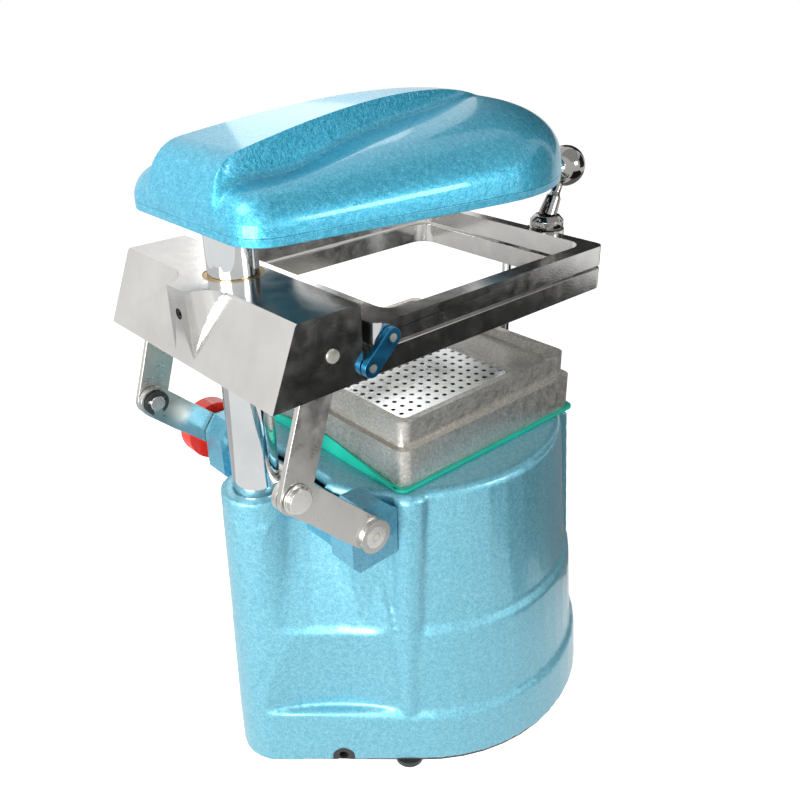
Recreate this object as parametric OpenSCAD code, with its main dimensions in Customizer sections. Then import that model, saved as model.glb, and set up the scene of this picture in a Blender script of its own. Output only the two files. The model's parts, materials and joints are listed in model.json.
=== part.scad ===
/* [Body] */
// Radius of the round front at the foot
foot_radius = 100.7; // [99:0.1:101]
// Radius of the round front at the top
top_radius = 88.7; // [87:0.1:89.5]
// Height of the body top above the table
body_top = 187.5; // [186.5:0.1:188]
// Wall of the hollow body casting
body_wall = 6; // [5:0.5:7]
// Half width of the raised switch panel
panel_half = 44; // [42:0.5:46]

/* [Post] */
// Radius of the chromed post
post_r = 11.75; // [11.5:0.05:11.75]
// Height of the post top
post_top = 330; // [329:0.5:331]
// Radius of the front guide rod
guide_r = 2.75; // [2.5:0.05:2.8]

/* [Vacuum tray] */
// Half width of the lower tray block
tray_half = 64.3; // [63.5:0.1:64.5]
// Half width of the upper tray block
tray_step_half = 61; // [60.5:0.1:61]
// Pitch of the suction holes
hole_pitch = 6; // [6:0.5:8]
// Diameter of the suction holes
hole_d = 2.6; // [2:0.1:3]

/* [Sheet frames] */
// Half width of both sheet frames
frame_half = 70; // [69.8:0.1:70.1]
// Half width of the square window
window_half = 61.5; // [61.4:0.1:62]
// Thickness of the upper frame
upper_t = 10.4; // [10:0.1:11]

/* [Lift] */
// Distance from shaft to crank pin
crank_len = 52.2; // [52:0.1:52.4]
// Distance from crank pin to carriage pivot
link_len = 64.5; // [64:0.1:65]
// Width of crank and link bars
bar_w = 16.5; // [15:0.5:16.5]
// Radius of the cross shaft
shaft_r = 5.75; // [5.5:0.05:5.75]
// Length of the lift handle
handle_len = 108; // [100:1:112]

/* [Heater dome] */
// Half width of the dome
dome_half = 72.6; // [71:0.1:73]
// Wall of the dome casting
dome_wall = 3; // [2.5:0.5:3.5]
// Height of the crest above the table
crest_top = 361; // [359:0.5:362]

/* [Hidden] */

$fn = 64;
eps = 0.01;
body_base = 7;
rear_c = [0, 92.5];
boss_top = 181;
wall_y = 67.8;
column_c = [62.6, 47.6];
column_r = 10.5;
web_top = 168;
boss_r = 18.5;
fillet_r = 24;
fillet_x = sqrt(pow(boss_r + fillet_r, 2) - pow(rear_c[1] - wall_y - fillet_r, 2));
tray_y = -13.9;
shaft = [74.7, 177.4];
rest_angle = 43.3;
pin = shaft + crank_len * [cos(rest_angle), sin(rest_angle)];
pivot = [92.2, 274.6];
feet = [[62, -85], [62, 47.5]];
panel_lean = 6.1;
switch_x = 22;
switch_z = 118;
switch_pos = [0, -110.45, switch_z];
hinge_top = [62.5, 275];
hinge_low = [74.1, 264.3];
low_frame_z = 258.5;
low_frame_t = 11.3;
up_frame_z = 271.3;
frame_front = -89.6;
window_y = [-82.6, 54.8];
carriage_y = [76.7, 109.3];
carriage_top = 293.1;
guide_y = -92.9;
clamp_c = [-27, -94];
clamp_lean = 28;
gasket_t = 1.8;
rim_z = 318.5;
seam_z = 322.3;
dome_c = -20.5;
dome_front = dome_c - dome_half;
dome_rear = 115.1;
dome_steps = 44;
fine = $preview ? 48 : 96;

// Front circle centre leans back as it rises
function lean(z) = -22.4 + (z - body_base) * 13.5 / 180.5;

module at_both() {
    children();
    mirror([1, 0, 0]) children();
}

module x_rod(yz, r, x0, x1) {
    translate([x0, yz[0], yz[1]]) rotate([0, 90, 0]) cylinder(h = x1 - x0, r = r);
}

module disc(c, z, r, h = 0.5) {
    translate([c[0], c[1], z]) cylinder(h = h, r = r, $fn = fine);
}

module rounded_slab(half_x, y0, y1, z0, h, r) {
    hull() for (x = [-half_x + r, half_x - r], y = [y0 + r, y1 - r])
        translate([x, y, z0]) cylinder(h = h, r = r, $fn = 32);
}

// One tapered tier of the body: round front and post boss joined by flat flanks
module tier(levels) {
    hull() for (l = levels) {
        disc([0, lean(l[0])], l[0], l[1]);
        if (l[2] > 0) disc(rear_c, l[0], l[2]);
    }
}

// Wall behind the shaft, with a slanting face on either side that ends in the rib
module wall_block() {
    outline = [[46.5, wall_y], [60, wall_y - 13.5], [60, 20],
        [-60, 20], [-60, wall_y - 13.5], [-46.5, wall_y]];
    translate([0, 0, 98]) linear_extrude(body_top - 101.5) polygon(outline);
    translate([0, 0, body_top - 3.51]) linear_extrude(3.51, scale = 0.955) polygon(outline);
}

// Tapered rib from the lower ledge to the top
module flank_rib() {
    translate([column_c[0], column_c[1], 36]) rotate([0.85, 0, 0]) {
        cylinder(h = 147.9, r1 = column_r - 3.7, r2 = column_r, $fn = 64);
        translate([0, 0, 147.89]) cylinder(h = 3.4, r1 = column_r, r2 = column_r - 3, $fn = 64);
    }
}

// Web that carries the post's boss, drawn in towards the wall as it rises
module flank_block() {
    hull() {
        disc(rear_c, 98, 21);
        disc(rear_c, web_top - 0.5, 19);
        at_both() {
            translate([61.5, 56, 98]) cylinder(h = 1, r = 1, $fn = 16);
            translate([45, wall_y - 1.3, web_top - 1]) cylinder(h = 1, r = 1, $fn = 16);
        }
    }
}

// Concave cuts that leave the ledges standing out on the rear flanks
module middle_hollow() {
    translate([143.3, 176.1, 45.4]) cylinder(h = 53.7, r1 = 145.6, r2 = 142.3, $fn = 192);
    translate([143.3, 176.1, 38]) cylinder(h = 7.41, r1 = 140, r2 = 145.6, $fn = 192);
}

module upper_hollow() {
    translate([119.7, 154.6, 98]) cylinder(h = 5.21, r1 = 110.3, r2 = 113, $fn = 192);
    hull() {
        disc([119.7, 154.6], 103.2, 113, 0.1);
        disc([fillet_x, wall_y + fillet_r], web_top, fillet_r, 0.1);
    }
}

module switch_frame(x) {
    translate([x, switch_pos[1], switch_pos[2]]) rotate([90 - panel_lean, 0, 0]) children();
}

module upper_shape() {
    tier([[102, top_radius + 3.2, 0], [body_top - 4.5, top_radius, 0], [body_top - 1.7, top_radius - 1.2, 0],
        [body_top - 0.5, top_radius - 4, 0]]);
    wall_block();
    at_both() flank_rib();
}

module body_shape() {
    tier([[body_base, foot_radius, 23.6], [38, foot_radius - 1, 23.2], [43.5, foot_radius - 4, 23]]);
    difference() {
        union() {
            tier([[43.5, foot_radius - 4, 23], [98, top_radius + 6.2, 21.2],
                [103.5, top_radius + 3.2, 20.9]]);
            flank_block();
        }
        at_both() middle_hollow();
        at_both() upper_hollow();
        translate([-200, lean(104), web_top]) cube([400, 400, 10]);
    }
    upper_shape();
    translate([0, rear_c[1], 98]) cylinder(h = boss_top - 98, r1 = 21, r2 = boss_r);
    translate([-panel_half, 0, 0]) rotate([90, 0, 90]) linear_extrude(2 * panel_half)
        polygon([[-108, 46], [-102, 46], [-90, 170.5], [-98, 170.5], [-105.3, 166], [-117.5, 52.5]]);
}

module body_cavity() {
    hull() {
        disc([0, lean(7)], body_base - 1, foot_radius - body_wall, 2);
        disc([0, lean(94)], 94, top_radius + 3.2 - body_wall, 2);
        disc([0, 86], body_base - 1, 14, 2);
        disc([0, 86], 94, 12, 2);
    }
    hull() {
        disc([0, lean(94)], 94, top_radius + 3 - body_wall);
        disc([0, lean(180)], 179.5, top_radius - 1 - body_wall);
        translate([-40, 30, 94]) cube([80, wall_y - body_wall - 30, 86]);
    }
}

module body_casting() {
    color([0.36, 0.72, 0.82]) difference() {
        body_shape();
        body_cavity();
        translate([0, tray_y, 178]) cylinder(h = 12, r = 19);
        translate([0, rear_c[1], 120]) cylinder(h = 70, r = post_r + 0.05);
        translate([0, rear_c[1], 90]) cylinder(h = 40, r = 4.2);
        translate([0, rear_c[1], 60]) cylinder(h = 35.9, r = 9.6);
        x_rod(shaft, shaft_r + 0.9, -46, 46);
        translate([-30, shaft[0] - shaft_r - 0.9, shaft[1]]) cube([60, 2 * shaft_r + 1.8, 12]);
        translate([0, guide_y, 170]) cylinder(h = 30, r = guide_r + 0.03, $fn = 32);
        for (x = [-switch_x, switch_x]) switch_frame(x)
            translate([-9.7, -12.7, -30]) cube([19.4, 25.4, 31]);
        at_both() bracket_bores(2.1, wall_y - 10, wall_y + 9);
        translate([-42, 80.3, body_base]) rotate([0, 0, 45]) rotate([90, 0, 0]) hull() {
            cylinder(h = 40, r = 6, center = true, $fn = 32);
            translate([0, 2.8, 0]) cylinder(h = 40, r = 6, center = true, $fn = 32);
        }
    }
}

module bracket_bores(r, y0, y1) {
    for (z = [159.5, 167.5]) translate([35.8, y0, z]) rotate([-90, 0, 0])
        cylinder(h = y1 - y0, r = r, $fn = 24);
}

module base_plate() {
    color([0.16, 0.17, 0.18]) difference() {
        hull() {
            disc([0, lean(7)], 5, foot_radius - 1.5, 2);
            disc(rear_c, 5, 20.5, 2);
        }
        for (f = feet, s = [-1, 1]) translate([s * f[0], f[1], 4]) cylinder(h = 4, r = 2.6, $fn = 24);
        for (i = [-5:5]) translate([i * 9 - 2, -60, 4]) cube([4, 60, 4]);
        translate([-42, 80.3, 7]) rotate([0, 0, 45]) rotate([90, 0, 0])
            cylinder(h = 30, r = 4, center = true, $fn = 32);
    }
}

module rubber_feet() {
    color([0.07, 0.07, 0.07]) for (f = feet, s = [-1, 1]) translate([s * f[0], f[1], 0]) {
        rotate_extrude() polygon([[0, 0], [7.4, 0], [8, 0.6], [9, 5], [2.5, 5], [2.5, 7], [0, 7]]);
    }
}

module cord_grommet() {
    color([0.06, 0.06, 0.06]) translate([-42, 80.3, body_base]) rotate([0, 0, 45]) rotate([90, 0, 0])
        difference() {
            translate([0, 2.8, 0.4]) cylinder(h = 8, r = 5.9, $fn = 32);
            translate([0, 3.2, -1]) cylinder(h = 10, r = 2.7, $fn = 32);
            translate([-8, -10, -1]) cube([16, 10.05, 12]);
        }
}

module post() {
    color([0.8, 0.82, 0.84]) difference() {
        translate([0, rear_c[1], 120.2]) cylinder(h = post_top - 120.2, r = post_r, $fn = fine);
        translate([0, rear_c[1], 119]) cylinder(h = 24, r = 4.05, $fn = 32);
        translate([0, rear_c[1] + post_r - 1.8, 300]) rotate([-90, 0, 0])
            cylinder(h = 3, r1 = 1.6, r2 = 3.4, $fn = 32);
        translate([0, rear_c[1], post_top - 1.5]) difference() {
            cylinder(h = 3, r = 20);
            cylinder(h = 1.51, r1 = post_r, r2 = post_r - 1.5);
        }
    }
}

module post_bolt() {
    color([0.35, 0.35, 0.36]) translate([0, rear_c[1], 0]) {
        translate([0, 0, 88]) cylinder(h = 6.4, r = 7.5, $fn = 6);
        translate([0, 0, 94.4]) cylinder(h = 1.5, r = 9, $fn = 32);
        translate([0, 0, 94]) cylinder(h = 46, r = 4, $fn = 32);
    }
}

module guide_rod() {
    color([0.82, 0.84, 0.86]) translate([0, guide_y, 170.2]) {
        cylinder(h = 89.8, r = guide_r, $fn = 32);
        translate([0, 0, 89.79]) cylinder(h = 1.5, r1 = guide_r, r2 = guide_r - 1.2, $fn = 32);
    }
}

// Shaft bracket with bevelled edges and a foot that reaches inwards, bolted to the rear wall
module bracket() {
    difference() {
        union() {
            translate([49, 0, 0]) rotate([90, 0, 90]) linear_extrude(16.5)
                polygon([[56, 156], [80, 155.5], [84, 160], [84, 182],
                    [77, 191], [66, 190.5], [59, 184], [56, 182]]);
            translate([22, 0, 0]) rotate([90, 0, 90]) linear_extrude(27.1)
                polygon([[wall_y - 2, 157], [77, 156], [80, 159.5], [80, 169], [78, 171], [wall_y - 2, 171]]);
        }
        upper_shape();
        difference() {
            flank_block();
            upper_hollow();
        }
        translate([0, rear_c[1], 98]) cylinder(h = boss_top - 98, r1 = 21, r2 = boss_r);
        x_rod(shaft, shaft_r + 0.05, 20, 70);
        bracket_bores(2.02, wall_y - 1, wall_y + 7);
    }
}

module left_bracket() {
    color([0.3, 0.64, 0.76]) mirror([1, 0, 0]) bracket();
}

module right_bracket() {
    color([0.3, 0.64, 0.76]) bracket();
}

module bracket_screws() {
    color([0.55, 0.55, 0.56]) at_both() {
        bracket_bores(3.4, wall_y - body_wall - 2.6, wall_y - body_wall);
        bracket_bores(2, wall_y - body_wall - 1, wall_y + 6.5);
    }
}

module motor_can() {
    color([0.5, 0.51, 0.53]) translate([0, tray_y, 0]) difference() {
        union() {
            translate([0, 0, 40]) cylinder(h = 80, r = 42);
            translate([0, 0, 30]) cylinder(h = 10.01, r1 = 16, r2 = 42);
            translate([0, 0, 120]) cylinder(h = 5, r = 20);
            translate([0, 0, 124]) cylinder(h = 34, r = 4);
        }
        for (a = [0:45:315]) rotate([0, 0, a]) translate([41, -4, 60]) cube([3, 8, 40]);
    }
}

module blower_housing() {
    color([0.62, 0.64, 0.66]) translate([0, tray_y, 0]) difference() {
        union() {
            translate([0, 0, 125.4]) cylinder(h = 50.6, r = 60);
            for (a = [30:120:270]) rotate([0, 0, a]) translate([64, 0, 125.4]) cylinder(h = 5, r = 8);
        }
        translate([0, 0, 128]) cylinder(h = 46, r = 57.5);
        translate([0, 0, 120]) cylinder(h = 20, r = 20.4);
        translate([0, 0, 170]) cylinder(h = 20, r = 19);
        for (a = [0:30:330]) rotate([0, 0, a + 15]) translate([46, 0, 120]) cylinder(h = 12, r = 5, $fn = 24);
        for (a = [30:120:270]) rotate([0, 0, a]) translate([64, 0, 120]) cylinder(h = 12, r = 2.6, $fn = 24);
    }
}

module inlet_seal() {
    color([0.1, 0.1, 0.1]) translate([0, tray_y, 176]) difference() {
        cylinder(h = 4, r = 30);
        translate([0, 0, -1]) cylinder(h = 6, r = 19);
    }
}

module blower_studs() {
    color([0.7, 0.7, 0.72]) translate([0, tray_y, 0]) for (a = [30:120:270]) rotate([0, 0, a])
        translate([64, 0, 0]) {
            translate([0, 0, 7]) cylinder(h = 118.4, r = 4.5, $fn = 32);
            translate([0, 0, 125]) cylinder(h = 8, r = 2.5, $fn = 32);
            translate([0, 0, 130.4]) cylinder(h = 4, r = 4.6, $fn = 6);
        }
}

module blower_impeller() {
    color([0.78, 0.8, 0.82]) translate([0, tray_y, 0]) difference() {
        union() {
            translate([0, 0, 140]) cylinder(h = 2, r = 54);
            translate([0, 0, 136]) cylinder(h = 16, r = 9);
            difference() {
                translate([0, 0, 164]) cylinder(h = 2, r = 54);
                translate([0, 0, 163]) cylinder(h = 4, r = 22);
            }
            for (a = [0:36:324]) rotate([0, 0, a]) translate([24, 0, 141.9]) rotate([0, 0, 22])
                cube([28, 1.6, 22.2]);
        }
        translate([0, 0, 130]) cylinder(h = 40, r = 4.05);
    }
}

// Seal under the tray, with a lip that stands up behind it
module tray_gasket() {
    color([0.05, 0.62, 0.52]) {
        difference() {
            rounded_slab(66.2, tray_y - 66.2, tray_y + 67, body_top, gasket_t, 5);
            translate([0, tray_y, body_top - 1]) cylinder(h = 6, r = 30);
        }
        hull() {
            translate([-58, tray_y + tray_half + 0.1, body_top + 0.1]) cube([116, 2.4, gasket_t - 0.1]);
            translate([-5, tray_y + tray_half + 0.1, body_top + 1]) cube([10, 0.8, 6.6]);
        }
    }
}

// Cast vacuum tray: stepped block, recess for the plate, suction chamber and ridge
module vacuum_tray() {
    step_z = 208.7;
    top_z = 222.4;
    floor_z = 217;
    color([0.6, 0.59, 0.56]) difference() {
        union() {
            rounded_slab(tray_half, tray_y - tray_half, tray_y + tray_half, body_top + gasket_t,
                step_z - body_top - gasket_t, 6);
            rounded_slab(tray_step_half, tray_y - tray_step_half, tray_y + tray_step_half, step_z - 1,
                top_z - step_z + 1, 5);
        }
        difference() {
            rounded_slab(57.2, tray_y - 57.2, tray_y + 57.2, floor_z, 10, 4);
            intersection() {
                translate([0, -42.9, floor_z - 1.2]) rotate([0, 90, 0])
                    cylinder(h = 114, r = 2.6, center = true);
                translate([-57.3, -60, floor_z - 2]) cube([114.6, 40, 6]);
            }
        }
        translate([-57.1, -40.2, floor_z - 1.5]) cube([114.2, 83.4, 2]);
        translate([-53, -36, 196]) cube([106, 75, 22]);
        translate([0, tray_y, 180]) cylinder(h = 20, r = 18);
    }
    color([0.6, 0.59, 0.56]) for (y = [-12, 14]) translate([-53.5, y, 200]) cube([107, 2, 15.5]);
}

module perforated_plate() {
    color([0.83, 0.84, 0.85]) difference() {
        translate([-56.9, -40, 215.5]) cube([113.8, 83, 1.5]);
        for (i = [-9:8], k = [0:12])
            translate([(i + 0.5) * hole_pitch, 33.6 - k * hole_pitch, 215])
                cylinder(h = 3, r = hole_d / 2, $fn = 16);
    }
}

module switch_case() {
    difference() {
        union() {
            translate([-11, -14, 0]) cube([22, 28, 2]);
            translate([-9.5, -12.5, -18]) cube([19, 25, 18.5]);
            for (y = [-6, 6]) translate([-3, y - 0.4, -24]) cube([6, 0.8, 7]);
        }
        translate([0, 0, -2]) rotate([0, 90, 0]) cylinder(h = 17.4, r = 12, center = true);
        translate([0, 0, -2]) rotate([0, 90, 0]) cylinder(h = 18.6, r = 1.56, center = true, $fn = 32);
    }
}

module rocker() {
    rotate([-7, 0, 0]) {
        intersection() {
            rotate([0, 90, 0]) cylinder(h = 16.8, r = 11.6, center = true);
            rotate([0, -90, 0]) translate([0, 0, -9]) linear_extrude(18)
                polygon([[-5, -12], [5.2, -12], [3.4, 0], [5.2, 12], [-5, 12]]);
        }
        rotate([0, 90, 0]) cylinder(h = 18.4, r = 1.5, center = true, $fn = 32);
    }
}

module heat_switch_case() {
    color([0.05, 0.05, 0.05]) switch_frame(-switch_x) switch_case();
}

module vacuum_switch_case() {
    color([0.05, 0.05, 0.05]) switch_frame(switch_x) switch_case();
}

module heat_rocker() {
    color([0.75, 0.08, 0.06]) switch_frame(-switch_x) translate([0, 0, -2]) rocker();
}

module vacuum_rocker() {
    color([0.1, 0.5, 0.2]) switch_frame(switch_x) translate([0, 0, -2]) rocker();
}

// Lift carriage and lower sheet frame in one casting
module carriage() {
    color([0.7, 0.69, 0.67]) difference() {
        union() {
            translate([-frame_half, 0, 0]) rotate([90, 0, 90]) linear_extrude(2 * frame_half)
                polygon([[carriage_y[0], low_frame_z + 4], [carriage_y[0], carriage_top - 1],
                    [carriage_y[0] + 1, carriage_top], [carriage_y[1] - 1, carriage_top],
                    [carriage_y[1], carriage_top - 1], [123.1, low_frame_z], [70, low_frame_z]]);
            difference() {
                translate([-20, 92, low_frame_z]) cube([40, 29.7, carriage_top - low_frame_z]);
                at_both() translate([20, 121.7, low_frame_z - 1]) cylinder(h = 40, r = 12);
            }
        }
        translate([0, rear_c[1], low_frame_z - 1]) cylinder(h = 50, r = 14);
        at_both() difference() {
            translate([0, 0, 0]) rotate([90, 0, 90]) translate([0, 0, 32]) linear_extrude(34.3)
                polygon([[78.2, low_frame_z - 1], [78.2, 288.6], [106.6, 288.6], [118.5, low_frame_z - 1]]);
        }
        at_both() x_rod(pivot, 3.05, 60, 75);
        at_both() x_rod(hinge_low, 2.02, 60, 75);
        translate([0, rear_c[1], 281.5]) rotate([-90, 0, 0]) cylinder(h = 40, r = 2.55, $fn = 32);
    }
}

// Lower sheet frame with the guide's eye and the slotted lug for the clamp
module lower_frame() {
    color([0.7, 0.69, 0.67]) difference() {
        union() {
            difference() {
                rounded_slab(frame_half, frame_front, carriage_y[0], low_frame_z, low_frame_t, 5);
                translate([-80, 70, low_frame_z - 1]) cube([160, 20, 20]);
            }
            translate([clamp_c[0], clamp_c[1] + 1, low_frame_z]) cylinder(h = low_frame_t, r = 10.5);
            translate([0, guide_y, low_frame_z]) cylinder(h = low_frame_t, r = 7);
        }
        rounded_slab(window_half, window_y[0], window_y[1], low_frame_z - 1, 20, 9);
        translate([0, guide_y, low_frame_z - 1]) cylinder(h = 20, r = guide_r + 0.35, $fn = 32);
        translate([clamp_c[0] - 3.6, clamp_c[1] - 20, low_frame_z - 1]) cube([7.2, 28, 20]);
    }
}

module carriage_bush() {
    color([0.72, 0.55, 0.28]) difference() {
        translate([0, rear_c[1], low_frame_z + 0.3]) cylinder(h = 34, r = 13.97);
        translate([0, rear_c[1], low_frame_z - 1]) cylinder(h = 50, r = post_r + 0.05, $fn = fine);
        translate([0, rear_c[1], 281.5]) rotate([-90, 0, 0]) cylinder(h = 40, r = 2.55, $fn = 32);
    }
}

module detent_plunger() {
    color([0.25, 0.25, 0.26]) difference() {
        translate([0, rear_c[1] + post_r + 0.4, 281.5]) rotate([-90, 0, 0]) {
            cylinder(h = 14, r = 2.5, $fn = 32);
        }
        translate([0, rear_c[1] + post_r + 12, 281.5]) rotate([-90, 0, 0]) cylinder(h = 4, r = 1.4, $fn = 6);
    }
}

module pan_screw(head_r, head_h, shank_r, shank_l) {
    rotate([0, 90, 0]) difference() {
        union() {
            cylinder(h = head_h * 0.55, r = head_r, $fn = 32);
            translate([0, 0, head_h * 0.55 - eps])
                cylinder(h = head_h * 0.45, r1 = head_r, r2 = head_r * 0.62, $fn = 32);
            translate([0, 0, -shank_l]) cylinder(h = shank_l + eps, r = shank_r, $fn = 32);
        }
        for (a = [0, 90]) rotate([0, 0, a]) translate([-head_r * 0.55, -0.4, head_h * 0.5])
            cube([head_r * 1.1, 0.8, head_h]);
    }
}

module link_pivot_screws() {
    color([0.75, 0.74, 0.7]) at_both() translate([frame_half, pivot[0], pivot[1]])
        pan_screw(6.4, 3.6, 3, 3.6);
}

module lower_hinge_screws() {
    color([0.78, 0.74, 0.6]) at_both() translate([frame_half + 3.4, hinge_low[0], hinge_low[1]])
        pan_screw(3.6, 2.3, 2, 10);
}

module upper_hinge_screws() {
    color([0.78, 0.74, 0.6]) at_both() translate([frame_half + 3.4, hinge_top[0], hinge_top[1]])
        pan_screw(3.6, 2.3, 2, 10);
}

module hinge_plate() {
    difference() {
        hull() {
            x_rod(hinge_top, 4.4, frame_half + 0.4, frame_half + 3.4);
            x_rod(hinge_low, 4.4, frame_half + 0.4, frame_half + 3.4);
        }
        x_rod(hinge_top, 2.06, frame_half - 1, frame_half + 5);
        x_rod(hinge_low, 2.06, frame_half - 1, frame_half + 5);
    }
}

module left_hinge_plate() {
    color([0.1, 0.36, 0.55]) mirror([1, 0, 0]) hinge_plate();
}

module right_hinge_plate() {
    color([0.1, 0.36, 0.55]) hinge_plate();
}

module upper_frame() {
    color([0.7, 0.69, 0.67]) difference() {
        rounded_slab(frame_half, frame_front, 69.6, up_frame_z, upper_t, 5);
        rounded_slab(window_half, window_y[0], window_y[1], up_frame_z - 1, 20, 9);
        translate([-80, 66, up_frame_z - 3]) rotate([-40, 0, 0]) cube([160, 12, 5]);
        at_both() x_rod(hinge_top, 2.02, 60, 75);
        translate([clamp_c[0], clamp_c[1], up_frame_z - 1]) cylinder(h = 20, r = 3.06, $fn = 32);
    }
}

// Lug of the upper frame that carries the clamp
module frame_lug() {
    color([0.7, 0.69, 0.67]) difference() {
        translate([clamp_c[0], clamp_c[1] + 1, up_frame_z]) cylinder(h = upper_t, r = 10.5);
        translate([-60, frame_front, up_frame_z - 1]) cube([60, 20, 20]);
        translate([clamp_c[0], clamp_c[1], up_frame_z - 1]) cylinder(h = 20, r = 3.06, $fn = 32);
    }
}

module crank_shaft() {
    color([0.8, 0.81, 0.82]) difference() {
        x_rod(shaft, shaft_r, -72.1, 72.1);
        for (x = [-72.2, 60.2]) x_rod(shaft, 2.05, x, x + 12, $fn = 32);
    }
}

// Crank arm stepping outward past the bracket to its hub
// Lift arm with a joggle, so that it passes inside the link
module crank() {
    r = bar_w / 2;
    difference() {
        union() {
            x_rod(shaft, r + 0.3, 65.8, 72);
            intersection() {
                hull() {
                    x_rod(shaft, r, 55, 75);
                    x_rod(pin, r, 55, 75);
                }
                translate([0, shaft[0], shaft[1]]) rotate([rest_angle, 0, 0]) translate([0, 0, -12])
                    linear_extrude(24) polygon([[66, -10], [66, 13], [59, 33.5], [59, 64], [62.2, 64],
                        [62.2, 33.5], [69.4, 13], [69.4, -10]]);
            }
        }
        x_rod(shaft, shaft_r + 0.02, 50, 80);
        x_rod(pin, 4.02, 50, 70, $fn = 32);
    }
}

module left_crank() {
    color([0.72, 0.71, 0.68]) mirror([1, 0, 0]) crank();
}

module right_crank() {
    color([0.72, 0.71, 0.68]) crank();
}

module crank_pins() {
    color([0.76, 0.75, 0.72]) at_both() difference() {
        union() {
            x_rod(pin, 4, 56.6, 67, $fn = 32);
            x_rod(pin, 7, 65.9, 66.8, $fn = 32);
            x_rod(pin, 5.8, 66.7, 69.4, $fn = 32);
        }
        difference() {
            x_rod(pin, 6, 57.4, 58.2, $fn = 32);
            x_rod(pin, 3, 57, 59, $fn = 32);
        }
    }
}

module pin_clips() {
    color([0.12, 0.12, 0.12]) at_both() difference() {
        x_rod(pin, 6.6, 57.5, 58.1, $fn = 32);
        x_rod(pin, 3.05, 57, 59, $fn = 32);
        translate([57, pin[0] - 2.6, pin[1] - 8]) cube([2, 5.2, 8]);
        for (s = [-1, 1]) translate([57, pin[0] + s * 4.4, pin[1] + 1.5]) rotate([0, 90, 0])
            cylinder(h = 2, r = 1, $fn = 16);
    }
}

module shaft_end_screws() {
    color([0.78, 0.74, 0.6]) {
        mirror([1, 0, 0]) translate([72.12, shaft[0], shaft[1]]) pan_screw(3.8, 2.6, 2, 8);
        translate([77, shaft[0], shaft[1]]) pan_screw(3.8, 2.6, 2, 12);
    }
}

// Red lift handle: hub disc, outward bend past the body side and a flat grip
module lift_handle() {
    a = 205;
    d = [cos(a), sin(a)];
    p1 = shaft + 26 * d;
    p2 = shaft + 52 * d;
    p3 = shaft + (handle_len - 9) * d;
    color([0.85, 0.07, 0.05]) difference() {
        union() {
            x_rod(shaft, 17, 70, 80);
            hull() {
                x_rod(shaft, 12, 74, 80, $fn = 32);
                x_rod(p1, 9, 82, 90, $fn = 32);
            }
            hull() {
                x_rod(p1, 9, 82, 90, $fn = 32);
                x_rod(p2, 7.5, 96.6, 103, $fn = 32);
            }
            hull() {
                x_rod(p2, 7.5, 96.6, 103, $fn = 32);
                x_rod(p3, 9, 96.6, 104.2, $fn = 32);
            }
        }
        x_rod(shaft, bar_w / 2 + 0.4, 69, 72.2);
        x_rod(shaft, 2.1, 70, 90, $fn = 32);
        x_rod(shaft, 4.4, 77, 92, $fn = 32);
    }
}

module link() {
    r = bar_w / 2;
    difference() {
        hull() {
            x_rod(pin, r, 62.6, 65.6, $fn = 48);
            x_rod(pivot, r, 62.6, 65.6, $fn = 48);
        }
        x_rod(pin, 4.05, 60, 68, $fn = 48);
        x_rod(pivot, 3.3, 60, 68, $fn = 48);
    }
}

module left_link() {
    color([0.66, 0.66, 0.64]) mirror([1, 0, 0]) link();
}

module right_link() {
    color([0.66, 0.66, 0.64]) link();
}

// Quarter turn lock: hub, upright shank and cross foot under the lower frame
module clamp_hub() {
    top = up_frame_z + upper_t;
    color([0.42, 0.42, 0.42]) translate([clamp_c[0], clamp_c[1], 0]) {
        translate([0, 0, top + 0.3]) rotate_extrude()
            polygon([[0, 0], [9, 0], [9.4, 1], [9.4, 4.5], [7, 7], [0, 8]]);
        translate([0, 0, 254]) cylinder(h = top - 250, r = 3, $fn = 32);
        translate([-2.5, -5.5, 254]) cube([5, 11, 3.6]);
    }
}

module clamp_lever() {
    color([0.6, 0.59, 0.57]) difference() {
        translate([clamp_c[0], clamp_c[1], up_frame_z + upper_t + 7]) rotate([clamp_lean, 0, 0]) {
            cylinder(h = 10.5, r1 = 5.2, r2 = 4.2, $fn = 32);
            translate([0, 0, 10.49]) cylinder(h = 2.5, r1 = 4.2, r2 = 2.7, $fn = 32);
            translate([0, 0, 12.98]) cylinder(h = 5.32, r1 = 2.7, r2 = 2.6, $fn = 32);
        }
        translate([clamp_c[0] - 12, clamp_c[1] - 12, up_frame_z]) cube([24, 24, upper_t + 8.31]);
    }
}

module clamp_ball() {
    color([0.78, 0.78, 0.78]) translate([clamp_c[0], clamp_c[1], up_frame_z + upper_t + 7])
        rotate([clamp_lean, 0, 0]) translate([0, 0, 28.5]) difference() {
            rotate_extrude($fn = 64) intersection() {
                circle(r = 11, $fn = 64);
                translate([0, -12]) square([12, 24]);
            }
            translate([0, 0, -12.2]) cylinder(h = 2, r = 8);
        }
}

// Half width of the dome plan at a given depth
function flank_w(y) = dome_half - 0.9 - max(0, y + 8) * 0.148 - max(0, y - 12.8) * 0.022;
function corner_w(y) = y > 101.1 ? 14 - sqrt(max(0, 196 - pow(y - 101.1, 2))) : 0;
function plan_w(y) = y < -8 ? sqrt(max(1, pow(dome_half, 2) - pow(y - dome_c, 2)))
    : flank_w(y) - corner_w(y);

// Crest profile and half width, widest at the rear
function crest_u(y) = (105.1 - y) / 190;
function crest_z(y) = crest_top - 11.7 + 33.2 * crest_u(y) - 9.5 * pow(crest_u(y), 2)
    - 23.4 * pow(crest_u(y), 3);
function crest_w(y) = max(1, 24.8 - 29.8 * crest_u(y) + 4.7 * pow(crest_u(y), 2));

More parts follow.
